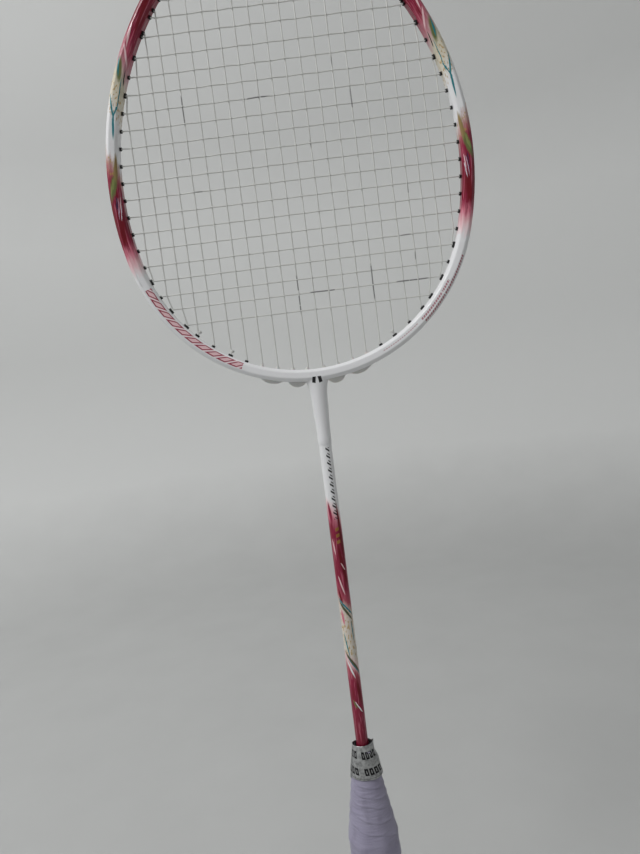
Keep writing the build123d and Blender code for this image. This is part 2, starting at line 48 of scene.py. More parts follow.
# ---------------------------------------------------------------------------------------------
# Node graphs written as formulas
# ---------------------------------------------------------------------------------------------
class Number:
    """A number that differs from place to place on a surface."""

    def __init__(self, graph, socket):
        self.graph = graph
        self.socket = socket

    def __add__(self, other):
        return self.graph.math("ADD", self, other)

    def __sub__(self, other):
        return self.graph.math("SUBTRACT", self, other)

    def __rsub__(self, other):
        return self.graph.math("SUBTRACT", other, self)

    def __mul__(self, other):
        return self.graph.math("MULTIPLY", self, other)

    def __truediv__(self, other):
        return self.graph.math("DIVIDE", self, other)

    def size(self):
        return self.graph.math("ABSOLUTE", self)

    def above(self, edge, softness=0.0):
        """1 above the edge and 0 below it, changing over the softness on each side."""
        if not softness:
            return self.graph.math("GREATER_THAN", self, edge)
        return self.graph.steps(self, edge - softness, edge + softness)

    def below(self, edge, softness=0.0):
        return 1.0 - self.above(edge, softness)

    def between(self, low, high, softness=0.0):
        return self.above(low, softness) * self.below(high, softness)

    def part(self):
        """The part after the decimal point."""
        return self.graph.math("FRACT", self)

    def held(self):
        """Kept from 0 to 1."""
        return self.graph.steps(self, 0.0, 1.0, "LINEAR")


# Where a Mix node keeps its sockets for colours.
MIX_AMOUNT = 0
MIX_UNDER = 6
MIX_OVER = 7
MIX_RESULT = 2


class Graph:
    """A material's node graph. Its lengths are in millimetres."""

    def __init__(self, name, settings=()):
        self.material = bpy.data.materials.new(name)
        self.material.use_nodes = True
        self.tree = self.material.node_tree
        self.shader = self.tree.nodes["Principled BSDF"]
        for label, value in dict(settings).items():
            self.shader.inputs[label].default_value = value
        coordinates = self.tree.nodes.new("ShaderNodeTexCoord").outputs["Object"]
        split = self.tree.nodes.new("ShaderNodeSeparateXYZ")
        self.tree.links.new(coordinates, split.inputs[0])
        self.x, self.y, self.z = (Number(self, socket) * 1000.0 for socket in split.outputs)

    def put(self, value, socket):
        """Feeds a Number, a plain number or a colour into a socket."""
        if isinstance(value, Number):
            self.tree.links.new(value.socket, socket)
        elif isinstance(value, bpy.types.NodeSocket):
            self.tree.links.new(value, socket)
        else:
            socket.default_value = value

    def math(self, operation, *values):
        node = self.tree.nodes.new("ShaderNodeMath")
        node.operation = operation
        for value, socket in zip(values, node.inputs):
            self.put(value, socket)
        return Number(self, node.outputs[0])

    def steps(self, value, low, high, kind="SMOOTHSTEP"):
        node = self.tree.nodes.new("ShaderNodeMapRange")
        node.interpolation_type = kind
        self.put(value, node.inputs["Value"])
        self.put(low, node.inputs["From Min"])
        self.put(high, node.inputs["From Max"])
        return Number(self, node.outputs[0])

    def choose(self, test, yes, no):
        """One number where the test is 1 and the other where it is 0."""
        node = self.tree.nodes.new("ShaderNodeMix")
        self.put(test, node.inputs["Factor"])
        self.put(no, node.inputs["A"])
        self.put(yes, node.inputs["B"])
        return Number(self, node.outputs["Result"])

    def vector(self, x, y, z):
        node = self.tree.nodes.new("ShaderNodeCombineXYZ")
        for value, socket in zip((x, y, z), node.inputs):
            self.put(value, socket)
        return node.outputs[0]

    def noise(self, x=None, y=None, z=None, scale=1.0, detail=2.0):
        """Soft noise from 0 to 1 that changes over about 1 / scale millimetres."""
        node = self.tree.nodes.new("ShaderNodeTexNoise")
        place = self.vector(
            self.x if x is None else x,
            self.y if y is None else y,
            self.z if z is None else z,
        )
        self.put(place, node.inputs["Vector"])
        node.inputs["Scale"].default_value = scale
        node.inputs["Detail"].default_value = detail
        return Number(self, node.outputs[0])

    def cells(self, scale, feature="F1"):
        """Distance from the nearest of many scattered points."""
        node = self.tree.nodes.new("ShaderNodeTexVoronoi")
        node.feature = feature
        self.put(self.vector(self.x, self.y, self.z), node.inputs["Vector"])
        node.inputs["Scale"].default_value = scale
        return Number(self, node.outputs["Distance"])

    def bands(self, value, low, high, stops, kind="LINEAR"):
        """A colour for each value, from (value, colour) pairs in rising order."""
        node = self.tree.nodes.new("ShaderNodeValToRGB")
        node.color_ramp.interpolation = kind
        self.put((value - low) / (high - low), node.inputs[0])
        elements = node.color_ramp.elements
        while len(elements) < len(stops):
            elements.new(1.0)
        for element, (place, colour) in zip(elements, stops):
            element.position = (place - low) / (high - low)
            element.color = colour
        return node.outputs[0]

    def over(self, under, colour, amount):
        """A colour laid over another one by an amount from 0 to 1."""
        node = self.tree.nodes.new("ShaderNodeMix")
        node.data_type = "RGBA"
        self.put(amount, node.inputs[MIX_AMOUNT])
        self.put(under, node.inputs[MIX_UNDER])
        self.put(colour, node.inputs[MIX_OVER])
        return node.outputs[MIX_RESULT]

    def colour(self, value):
        self.put(value, self.shader.inputs["Base Color"])

    def roughness(self, low, high, amount):
        self.put(amount * (high - low) + low, self.shader.inputs["Roughness"])

    def bump(self, height, strength, distance):
        """Relief: the height runs from 0 to 1 over a distance in millimetres."""
        node = self.tree.nodes.new("ShaderNodeBump")
        node.inputs["Strength"].default_value = strength
        node.inputs["Distance"].default_value = distance / 1000
        self.put(height, node.inputs["Height"])
        self.tree.links.new(node.outputs[0], self.shader.inputs["Normal"])


def linear(value):
    """The light that a screen value from 0 to 255 stands for."""
    share = value / 255
    if share > 0.04045:
        return ((share + 0.055) / 1.055) ** 2.4
    return share / 12.92


def tint(red, green, blue):
    """A colour from its usual 0 to 255 values."""
    return (linear(red), linear(green), linear(blue), 1.0)


WHITE = tint(236, 236, 238)
CREAM = tint(224, 216, 198)
GOLD = tint(184, 150, 84)
PALE_PINK = tint(232, 196, 200)
PINK = tint(208, 120, 138)
CRIMSON = tint(140, 27, 60)
DARK_CRIMSON = tint(112, 0, 22)
OLIVE = tint(104, 112, 64)
LEAF = tint(132, 140, 82)
BRONZE = tint(150, 128, 82)
TEAL = tint(34, 128, 138)
NAVY = tint(30, 40, 74)
INK = tint(26, 24, 28)


# ---------------------------------------------------------------------------------------------
# Paint
# ---------------------------------------------------------------------------------------------
# The hoop's centre line: each arc's centre, radius, and headings from the throat to the top.
HOOP_ARCS = [
    (0.0, 526.89, 92.9, 0.0, 74.5),
    (-67.45, 545.6, 162.9, 74.5, 125.5),
    (8.26, 599.6, 69.9, 125.5, 163.5),
    (0.0, 571.72, 98.98, 163.5, 180.0),
]
# These turn an angle round a tube into millimetres over its surface.
HOOP_TUBE_RADIUS = 4.4
SHAFT_RADIUS = 3.5


def along_hoop(graph):
    """Length along the hoop from the throat, and distance outside its centre line."""
    across = graph.x.size()
    length = None
    offset = None
    start_lengths = [0.0]
    for _, _, radius, start, end in HOOP_ARCS:
        start_lengths.append(start_lengths[-1] + radius * math.radians(end - start))
    for (x, z, radius, start, end), start_length in reversed(list(zip(HOOP_ARCS, start_lengths))):
        right = across - x
        down = z - graph.z
        heading = graph.math("ARCTAN2", right, down)
        heading = heading + heading.below(-math.pi / 2) * math.tau
        here_length = (heading - math.radians(start)) * radius + start_length
        here_offset = graph.math("SQRT", right * right + down * down) - radius
        if length is None:
            length, offset = here_length, here_offset
            continue
        on_this_arc = heading.below(math.radians(end))
        length = graph.choose(on_this_arc, here_length, length)
        offset = graph.choose(on_this_arc, here_offset, offset)
    return length, offset


def lens(along, across, place, middle, half_length, half_width, slant):
    """1 inside a long pointed mark and 0 outside it. A wide one has softer edges."""
    forward = along - place
    sideways = (across - middle - forward * slant) / half_width
    forward = forward / half_length
    firmness = 1.2 + 0.4 / half_width
    return ((1.0 - forward * forward - sideways * sideways) * firmness).held()


def lay_marks(graph, colour, along, across, marks):
    """Paints each mark of a list over a colour."""
    for place, middle, half_length, half_width, slant, mark_colour in marks:
        amount = lens(along, across, place, middle, half_length, half_width, slant)
        colour = graph.over(colour, mark_colour, amount)
    return colour


def lacquer(name):
    """A painted tube's clear top coat."""
    return Graph(name, {"Coat Weight": 0.4, "Coat Roughness": 0.08, "Specular IOR Level": 0.2})


def finish_lacquer(graph, colour):
    """The faint ripple and handling marks of a lacquered tube."""
    graph.colour(colour)
    graph.roughness(0.26, 0.42, graph.noise(scale=0.35, detail=4.0))
    graph.bump(graph.noise(scale=1.1, detail=1.0), 0.25, 0.02)


# Place along the hoop, place across it, half length, half width, slant, colour.
HOOP_MARKS = [
    (142.5, 0.0, 11.0, 1.9, -0.10, DARK_CRIMSON),
    (148.0, 2.7, 20.0, 0.5, 0.0, DARK_CRIMSON),
    (152.0, -1.7, 4.5, 0.26, -0.20, tint(220, 212, 224)),
    (157.0, -2.1, 4.0, 0.24, -0.15, PALE_PINK),
    (154.5, -0.7, 6.0, 0.20, -0.14, tint(196, 176, 200)),
    (157.0, -0.2, 4.5, 0.30, -0.10, NAVY),
    (166.0, 0.2, 8.5, 2.0, -0.25, OLIVE),
    (167.0, 0.4, 5.0, 0.9, -0.28, LEAF),
    (176.0, -1.9, 8.5, 1.3, -0.06, BRONZE),
    (198.5, -0.7, 8.5, 0.60, 0.06, TEAL),
    (208.5, 1.0, 7.5, 0.48, 0.25, TEAL),
    (206.0, -1.2, 5.0, 0.40, -0.28, TEAL),
    (214.5, -1.95, 10.0, 0.28, 0.01, TEAL),
    (228.0, 0.4, 8.0, 1.6, 0.18, OLIVE),
    (229.5, 1.2, 6.0, 0.5, 0.20, TEAL),
    (224.5, -3.0, 4.5, 0.35, 0.08, INK),
    (235.5, -0.9, 6.0, 0.6, 0.40, PALE_PINK),
    (247.0, 0.9, 8.0, 0.5, 0.12, PALE_PINK),
    (260.0, -0.9, 14.0, 1.1, 0.06, DARK_CRIMSON),
    (281.0, 0.5, 12.0, 0.5, -0.10, PALE_PINK),
    (304.0, -0.8, 15.0, 0.9, 0.06, DARK_CRIMSON),
    (327.0, 0.8, 12.0, 0.6, -0.08, PALE_PINK),
]


def hoop_paint():
    """White at the throat, then crimson with brush marks, a pale break and crimson again."""
    graph = lacquer("hoop_paint")
    length, offset = along_hoop(graph)
    across = graph.math("ARCTAN2", offset, graph.y.size()) * HOOP_TUBE_RADIUS
    seen_left = (graph.x * graph.y).above(0.0)
    ragged = graph.noise(length * 0.16, across * 0.8, seen_left * 9.0, scale=1.0, detail=4.0) - 0.5
    place = length + ragged * 10.0
    colour = graph.bands(
        place,
        0.0,
        345.0,
        [
            (116.0, WHITE),
            (123.0, PALE_PINK),
            (130.0, PINK),
            (136.0, CRIMSON),
            (146.0, tint(120, 22, 44)),
            (166.0, CRIMSON),
        ],
    )
    upper = length - across * 1.2 + ragged * 12.0
    above_break = graph.bands(
        upper,
        150.0,
        345.0,
        [
            (168.0, CRIMSON),
            (173.0, tint(170, 92, 100)),
            (178.0, tint(196, 160, 156)),
            (184.0, WHITE),
            (203.0, WHITE),
            (214.0, CREAM),
            (224.0, tint(206, 200, 180)),
            (231.0, tint(194, 146, 152)),
            (239.0, tint(172, 72, 94)),
            (247.0, CRIMSON),
            (262.0, tint(124, 24, 48)),
            (300.0, CRIMSON),
            (340.0, tint(124, 24, 48)),
        ],
    )
    colour = graph.over(colour, above_break, upper.above(165.0, 3.0))
    in_crimson = place.between(131.0, 166.0, 4.0) + upper.above(238.0, 4.0)
    streaks = graph.noise(length * 0.06, across * 1.3, seen_left * 5.0, scale=1.0, detail=3.0)
    colour = graph.over(colour, PINK, streaks.above(0.60, 0.06) * in_crimson * 0.6)
    colour = graph.over(colour, DARK_CRIMSON, streaks.below(0.42, 0.07) * in_crimson * 0.85)
    flecks = graph.noise(length * 0.5, across * 1.1, 4.0, scale=1.0, detail=3.0).above(0.58, 0.05)
    gilded = upper.between(172.0, 182.0, 2.0) + upper.between(203.0, 222.0, 3.0)
    colour = graph.over(colour, GOLD, flecks * gilded * 0.8)
    colour = lay_marks(graph, colour, length + ragged * 3.0, across + ragged * 0.9, HOOP_MARKS)
    finish_lacquer(graph, throat_trim(graph, colour, length, across, seen_left))
    return graph.material


def throat_trim(graph, colour, length, across, seen_left):
    """The plain printed trim on the white part: outlined bars, fine dashes and a throat mark."""
    height = across + 0.8
    cell = ((length - height * 1.6) / 6.8).part()
    long_row = length.between(41.0, 108.5) * seen_left * height.size().below(1.72, 0.12)
    outline = cell.between(0.10, 0.86, 0.03)
    opening = cell.between(0.24, 0.72, 0.03) * height.size().below(1.15, 0.12)
    glow = long_row * cell.between(0.02, 0.94, 0.06)
    colour = graph.over(colour, PALE_PINK, glow)
    colour = graph.over(colour, tint(150, 44, 70), long_row * outline * (1.0 - opening))
    seen_right = 1.0 - seen_left
    dashes = ((length + across * 0.4) / 1.5).part().between(0.2, 0.8, 0.1)
    words = graph.noise(length * 0.35, 2.0, 7.0, scale=1.0, detail=1.0).above(0.34, 0.03)
    outer_row = (across - 1.9).size().below(0.62, 0.15) * length.between(67.0, 107.0)
    inner_row = (across + 0.1).size().below(0.55, 0.15) * length.between(66.0, 92.0)
    thin_row = (across + 0.2).size().below(0.26, 0.12) * length.between(39.0, 63.0)
    rows = (outer_row + inner_row) * words + thin_row * 0.7
    colour = graph.over(colour, tint(158, 62, 84), rows * (dashes * 0.7 + 0.25) * seen_right * 0.9)
    middle = (graph.x.size() - 1.7 - (across - 2.4) * 0.2).size().below(0.95, 0.1)
    low_half = (across - 2.2).size().below(1.3, 0.12) * graph.z.below(440.0)
    return graph.over(colour, INK, middle * low_half)


# Height, place across the front, half length, half width, slant, colour.
SHAFT_MARKS = [
    (345.0, 2.6, 20.0, 1.1, -0.03, DARK_CRIMSON),
    (357.0, -2.2, 7.0, 1.1, -0.10, CRIMSON),
    (337.5, -2.3, 5.0, 0.4, -0.10, PALE_PINK),
    (327.0, 1.4, 13.0, 1.2, -0.12, DARK_CRIMSON),
    (326.0, 1.6, 2.4, 0.4, -0.5, PALE_PINK),
    (315.5, -0.6, 6.0, 0.5, -0.25, PALE_PINK),
    (309.0, -2.2, 6.0, 0.8, -0.18, DARK_CRIMSON),
    (303.0, 0.2, 6.5, 0.7, -0.75, TEAL),
    (301.0, -0.2, 7.0, 0.9, -0.60, tint(78, 86, 62)),
    (297.0, -2.2, 5.0, 0.9, -0.10, PINK),
    (289.0, 2.6, 7.0, 0.35, -0.04, TEAL),
    (281.0, -1.8, 8.0, 0.4, -0.14, TEAL),
    (270.5, 0.4, 8.0, 1.2, -0.60, tint(88, 86, 60)),
    (267.0, -1.2, 6.0, 0.6, -0.35, WHITE),
    (268.0, 1.2, 6.0, 0.35, -0.60, TEAL),
    (253.0, 2.0, 8.0, 1.2, -0.10, DARK_CRIMSON),
    (246.5, -1.3, 3.0, 0.5, -0.35, OLIVE),
    (244.5, 0.8, 3.8, 0.4, -0.55, WHITE),
]


def shaft_paint():
    """White under the throat, crimson with brush marks, and a cream break half way down."""
    graph = lacquer("shaft_paint")
    front = graph.y.below(0.0) * 2.0 - 1.0
    across = graph.math("ARCTAN2", graph.x * front, graph.y.size()) * SHAFT_RADIUS
    ragged = (graph.noise(graph.z * 0.12, across * 0.7, front * 3.0, scale=1.0, detail=3.0) - 0.5) * 8.0
    place = graph.z + across * 0.9 + ragged
    colour = graph.bands(
        place,
        215.0,
        435.0,
        [
            (222.0, tint(124, 26, 50)),
            (258.0, CRIMSON),
            (265.0, tint(176, 84, 96)),
            (270.0, PALE_PINK),
            (276.0, tint(216, 210, 198)),
            (298.0, tint(220, 208, 198)),
            (303.0, tint(206, 190, 180)),
            (307.0, tint(178, 80, 98)),
            (316.0, CRIMSON),
            (338.0, tint(134, 30, 56)),
            (347.0, CRIMSON),
            (353.0, PINK),
            (358.0, PALE_PINK),
            (363.0, WHITE),
        ],
    )
    in_crimson = place.between(224.0, 264.0, 4.0) + place.between(309.0, 350.0, 4.0)
    streaks = graph.noise(graph.z * 0.07, across * 0.9, front * 5.0, scale=1.0, detail=2.5)
    colour = graph.over(colour, PINK, streaks.above(0.60, 0.05) * in_crimson * 0.5)
    colour = graph.over(colour, DARK_CRIMSON, streaks.below(0.40, 0.06) * in_crimson * 0.6)
    flecks = graph.noise(graph.z * 0.40, across * 0.9, 2.0, scale=1.0, detail=2.0).above(0.58, 0.04)
    colour = graph.over(colour, GOLD, flecks * place.between(273.0, 303.0, 3.0) * 0.75)
    colour = lay_marks(graph, colour, graph.z + ragged * 0.2, across, SHAFT_MARKS)
    cell = ((graph.z + across * 0.8) / 4.0).part()
    strokes = cell.between(0.10, 0.38, 0.05) + cell.between(0.58, 0.76, 0.05) * across.above(0.6, 0.1)
    row = (across - 0.9).size().below(1.05, 0.12) * graph.z.between(353.0, 393.5)
    colour = graph.over(colour, INK, strokes * row)
    gold_cell = ((graph.z - across * 0.3) / 3.6).part().between(0.2, 0.7, 0.06)
    gold_row = (across - 0.8).size().below(1.0, 0.12) * graph.z.between(338.0, 348.8) * gold_cell
    finish_lacquer(graph, graph.over(colour, tint(158, 112, 52), gold_row))
    return graph.material


# ---------------------------------------------------------------------------------------------
# Strings, plastics, wood and metal
# ---------------------------------------------------------------------------------------------
def string_nylon(name, weave_across):
    """Multifilament nylon: a fine twist, a slight gloss and a few printed stretches."""
    graph = Graph(name, {"Coat Weight": 0.3, "Coat Roughness": 0.25})
    along, sideways = (graph.x, graph.z) if weave_across else (graph.z, graph.x)
    colour = graph.over(tint(200, 201, 198), tint(220, 220, 216), graph.noise(scale=0.25, detail=3.0))
    printed = graph.noise(along * 0.028, sideways * 0.12, 3.0, scale=1.0, detail=0.0).above(0.775, 0.01)
    broken = graph.noise(along * 0.3, sideways * 0.12, 8.0, scale=1.0, detail=0.0).above(0.36, 0.03)
    in_bed = graph.x.size().below(72.0) * graph.z.between(470.0, 640.0)
    graph.colour(graph.over(colour, tint(84, 84, 88), printed * broken * in_bed * 0.7))
    graph.roughness(0.32, 0.50, graph.noise(scale=2.0))
    twist = graph.math("SINE", along * 7.0 + sideways * 9.0 + graph.y * 9.0) * 0.5 + 0.5
    graph.bump(twist, 0.3, 0.02)
    return graph.material


def moulded(name, dark, light, low=0.30, high=0.45, settings=()):
    """Moulded plastic with a faint grain and flow marks."""
    graph = Graph(name, settings)
    graph.colour(graph.over(dark, light, graph.noise(scale=0.3, detail=4.0)))
    graph.roughness(low, high, graph.noise(scale=1.2, detail=3.0))
    graph.bump(graph.noise(scale=5.0, detail=2.0), 0.25, 0.02)
    return graph.material


def wood():
    """Light close-grained wood with its grain along the handle."""
    graph = Graph("core_wood")
    rings = graph.noise(graph.x * 0.5, graph.y * 0.5, graph.z * 0.02, scale=1.0, detail=3.0)
    grain = graph.math("SINE", rings * 60.0) * 0.5 + 0.5
    pores = graph.noise(graph.x * 6.0, graph.y * 6.0, graph.z * 0.25, scale=1.0, detail=2.0)
    colour = graph.over(tint(196, 158, 108), tint(222, 190, 144), grain)
    graph.colour(graph.over(colour, tint(150, 112, 70), pores.above(0.62, 0.05) * 0.6))
    graph.roughness(0.55, 0.75, pores)
    graph.bump(pores, 0.3, 0.05)
    return graph.material


def steel():
    """Drawn staple wire."""
    graph = Graph("staple_steel", {"Metallic": 1.0})
    drawn = graph.noise(graph.x * 8.0, graph.y * 0.6, graph.z * 8.0, scale=1.0, detail=2.0)
    graph.colour(graph.over(tint(150, 150, 154), tint(186, 186, 190), drawn))
    graph.roughness(0.25, 0.42, drawn)
    graph.bump(drawn, 0.2, 0.01)
    return graph.material


def badge_foil():
    """A printed foil disc with plain rings."""
    graph = Graph("badge_foil", {"Metallic": 0.6})
    radius = graph.math("SQRT", graph.x * graph.x + graph.y * graph.y)
    brushed = graph.noise(radius * 4.0, 1.0, 2.0, scale=1.0, detail=3.0)
    colour = graph.over(tint(176, 178, 186), tint(206, 208, 214), brushed)
    rings = radius.between(5.6, 6.4, 0.06) + radius.between(2.4, 2.9, 0.06)
    graph.colour(graph.over(colour, CRIMSON, rings))
    graph.roughness(0.22, 0.38, brushed)
    graph.bump(brushed, 0.2, 0.01)
    return graph.material


def foam():
    """The cushioned base grip: soft film with scattered dimples."""
    graph = Graph("base_grip_foam")
    dimples = graph.cells(0.45).below(0.32, 0.06)
    graph.colour(graph.over(tint(206, 206, 204), tint(226, 226, 224), graph.noise(scale=0.4)))
    graph.roughness(0.55, 0.75, graph.noise(scale=1.5))
    graph.bump(1.0 - dimples, 0.5, 0.25)
    return graph.material


def film():
    """Overgrip film: lavender, slightly tacky, with a fine pressed grain and stretch lines."""
    graph = Graph("overgrip_film", {"Sheen Weight": 0.1, "Sheen Roughness": 0.4, "Specular IOR Level": 0.3})
    cloud = graph.noise(scale=0.12, detail=4.0)
    colour = graph.over(tint(148, 143, 166), tint(164, 160, 180), cloud)
    soil = graph.noise(graph.x, graph.y, graph.z * 0.4, scale=0.2, detail=3.0).above(0.60, 0.12)
    graph.colour(graph.over(colour, tint(134, 129, 148), soil * 0.45))
    grain = graph.noise(scale=3.2, detail=2.0)
    stretch = graph.noise(graph.x * 0.07, graph.y * 0.07, graph.z * 0.9, scale=1.0, detail=4.0)
    graph.roughness(0.42, 0.60, grain)
    graph.bump(grain * 0.2 + stretch * 0.8, 0.7, 0.5)
    return graph.material


def silver_tape(box):
    """Satin finishing tape with two rows of plain blocks and a line near its foot."""
    graph = Graph("silver_tape", {"Metallic": 0.65, "Coat Weight": 0.2, "Coat Roughness": 0.25})
    scuffs = graph.noise(scale=0.5, detail=5.0).above(0.5, 0.2)
    colour = graph.over(tint(132, 133, 133), tint(182, 183, 183), scuffs)
    angle = graph.math("ARCTAN2", graph.x, graph.y * -1.0)
    level = graph.z + angle * 0.25 - box[0].z * 1000
    blocks_per_radian = 2.7
    for middle, turned in ((14.1, 0.66), (5.25, 0.30)):
        place = angle * blocks_per_radian + turned
        height = (level - middle).size()
        cell = (place + (level - middle) * 0.06).part()
        opening = cell.between(0.38, 0.56, 0.04) * height.below(0.95, 0.12)
        block = cell.between(0.08, 0.84, 0.04) * (1.0 - opening) * height.below(1.95, 0.12)
        colour = graph.over(colour, INK, block * (place / 5.0).part().below(0.8))
    graph.colour(graph.over(colour, tint(70, 70, 72), level.between(1.5, 1.75, 0.12) * 0.7))
    graph.roughness(0.28, 0.48, scuffs)
    creases = graph.noise(graph.x * 0.3, graph.y * 0.3, graph.z * 0.9, scale=1.0, detail=3.0)
    graph.bump(creases, 0.5, 0.25)
    return graph.material


def tape_under():
    """The strip that ends the base grip."""
    graph = Graph("inner_tape")
    crepe = graph.noise(graph.x * 0.4, graph.y * 0.4, graph.z * 3.0, scale=1.0, detail=2.0)
    graph.colour(graph.over(tint(214, 206, 184), tint(230, 224, 206), crepe))
    graph.roughness(0.5, 0.7, crepe)
    graph.bump(crepe, 0.4, 0.05)
    return graph.material


# ---------------------------------------------------------------------------------------------
# The wound grip and the tape at its top
# ---------------------------------------------------------------------------------------------
CAP_TOP = 4.0
FLARE_TOP = 18.0
CONE_FOOT = 168.0
CONE_TOP = 222.0
# Width and depth over the grip: along it, at its foot, and at the cone's top.
GRIP = (28.5, 26.5)
FLARE = (31.6, 29.6)
RIM = (11.0, 11.0)
OCTAGON_CORNERS = 0.0185  # half the share by which the corners stand past the flats

GRIP_TOP = 219.0
# Heights where an edge of the film passes the front, from just under the cone to its top.
SEAMS = [161.4, 174.6, 181.3, 189.1, 193.9, 199.5, 206.0, 213.0, 220.0]
LOWER_PITCH = 16.0  # from one edge to the next, below the first of them
# The laps change to the cone's own ones from this height, over this length.
LAPS_CHANGE_FROM = 140.0
LAPS_CHANGE_LENGTH = 30.0
LOWER_LAP = 0.75
CONE_LAP = 0.32
LAP_SHARE = 0.62  # of a turn, over which a lap thins out
EDGE_SHARE = 0.04  # of a turn, over which its edge rounds up
LIP_DEPTH = 0.6  # how far the film turns in at both ends
CALM_LENGTH = 4.0  # the relief fades in over this length at the foot

TAPE_TURNS = 2.15
TAPE_START = 0.35  # in turns, before the front
TAPE_FOOT = 205.6
TAPE_DROP = 1.0  # how much lower the foot lies after each turn
TAPE_HEAD = 222.2
NARROW_HEAD = 215.4  # the top of the narrower last stretch
NARROW_FROM = 1.36  # in turns
TAPE_SUPPORT = 221.9  # above this the tape no longer follows the cone
TAPE_PROUD = 0.28  # of the first turn, over the cone
TAPE_LAYER = 0.16  # how much further out each turn lies
TAPE_THICKNESS = 0.00012  # in metres
CORNER_ANGLE = 1.5  # where a corner of the tape stands up, from the front
CORNER_RISE = 1.7
LUMP_ANGLE = 1.35  # where the film bulges under the tape's lower part
LUMP_HEIGHT = 0.9
LUMP_TOP = 216.0
PRESSED_FROM = 218.0  # above this the rim is pressed flatter from front to back
PRESSED_FRONT = 0.05  # for each millimetre of height
PRESSED_BACK = 0.075


def part_way(low, high, share):
    return low + (high - low) * share


def clamp(value):
    return min(1.0, max(0.0, value))


def near(angle, middle, spread):
    """1 at an angle, and fading to 0 on both sides of it."""
    away = (angle - middle + math.pi) % math.tau - math.pi
    return math.exp(-(away**2) / spread)


def grip_size(z):
    """Width and depth over the grip at a height."""
    if z >= CONE_FOOT:
        share = (z - CONE_FOOT) / (CONE_TOP - CONE_FOOT)
        end = RIM
    else:
        share = max(0.0, (FLARE_TOP - z) / (FLARE_TOP - CAP_TOP))
        end = FLARE
    return part_way(GRIP[0], end[0], share), part_way(GRIP[1], end[1], share)


def grip_point(angle, z, proud):
    """A point of the rounded octagon at a height, with an angle of 0 at the front."""
    width, depth = grip_size(z)
    share = clamp((z - CONE_FOOT) / (CONE_TOP - CONE_FOOT))
    corner = OCTAGON_CORNERS * (1 - share) ** 3 * (1 - math.cos(8 * angle))
    x = math.sin(angle) * ((width / 2) * (1 + corner) + proud)
    y = -math.cos(angle) * ((depth / 2) * (1 + corner) + proud)
    return Vector((x, y, z))


def turns_at(z):
    """How many turns of the grip lie between the first seam and a height."""
    if z < SEAMS[0]:
        return (z - SEAMS[0]) / LOWER_PITCH
    number = max(place for place, seam in enumerate(SEAMS) if seam <= z)
    low = SEAMS[number]
    high = SEAMS[number + 1]
    return number + (z - low) / (high - low)


def grip_relief(angle, z):
    """How proud the wound film stands: each turn laps over the one below."""
    around = Vector((math.sin(angle), math.cos(angle), z * 0.08))
    on_cone = clamp((z - LAPS_CHANGE_FROM) / LAPS_CHANGE_LENGTH)
    wander = noise.noise(around * 1.3) * 0.12 + math.sin(angle) * 0.28 * on_cone
    turn = (turns_at(z) + angle / math.tau + wander) % 1.0
    lap = part_way(LOWER_LAP, CONE_LAP, on_cone) * max(0.0, 1.0 - turn / LAP_SHARE) ** 1.4
    rolled_edge = min(1.0, turn / EDGE_SHARE)
    pull = Vector((math.sin(angle) * 1.2, math.cos(angle) * 1.2, z * 0.7 - angle * 0.3))
    wrinkle = noise.noise(pull) * 0.12 + noise.noise(pull * 2.3) * 0.06
    swell = noise.noise(Vector((math.sin(angle), math.cos(angle), z * 0.045)) * 1.1) * 0.22
    return lap * rolled_edge + wrinkle + swell


def skin(name, rings, closed=True):
    """A mesh through rings of points, each ring one row."""
    columns = len(rings[0])
    points = [point / 1000 for ring in rings for point in ring]
    faces = []
    for row in range(len(rings) - 1):
        for column in range(columns if closed else columns - 1):
            after = (column + 1) % columns
            low = row * columns
            high = low + columns
            faces.append((low + column, low + after, high + after, high + column))
    mesh = bpy.data.meshes.new(name)
    mesh.from_pydata(points, [], faces)
    mesh.polygons.foreach_set("use_smooth", [True] * len(faces))
    mesh.update()
    piece = bpy.data.objects.new(name, mesh)
    scene.collection.objects.link(piece)
    return piece


def make_grip():
    """The overgrip as one skin, whose relief shows a film wound up from the butt."""
    columns = 200
    row_height = 0.4
    foot = CAP_TOP + 0.05
    rows = round((GRIP_TOP - foot) / row_height)
    angles = [math.tau * column / columns for column in range(columns)]
    rings = []
    for row in range(rows + 1):
        z = part_way(foot, GRIP_TOP, row / rows)
        calm = min(1.0, (z - foot) / CALM_LENGTH)
        rings.append([grip_point(angle, z, grip_relief(angle, z) * calm) for angle in angles])
    lower_lip = [grip_point(angle, foot, -LIP_DEPTH) for angle in angles]
    upper_lip = [grip_point(angle, GRIP_TOP, -LIP_DEPTH) for angle in angles]
    return skin("overgrip_wrap", [lower_lip] + rings + [upper_lip])


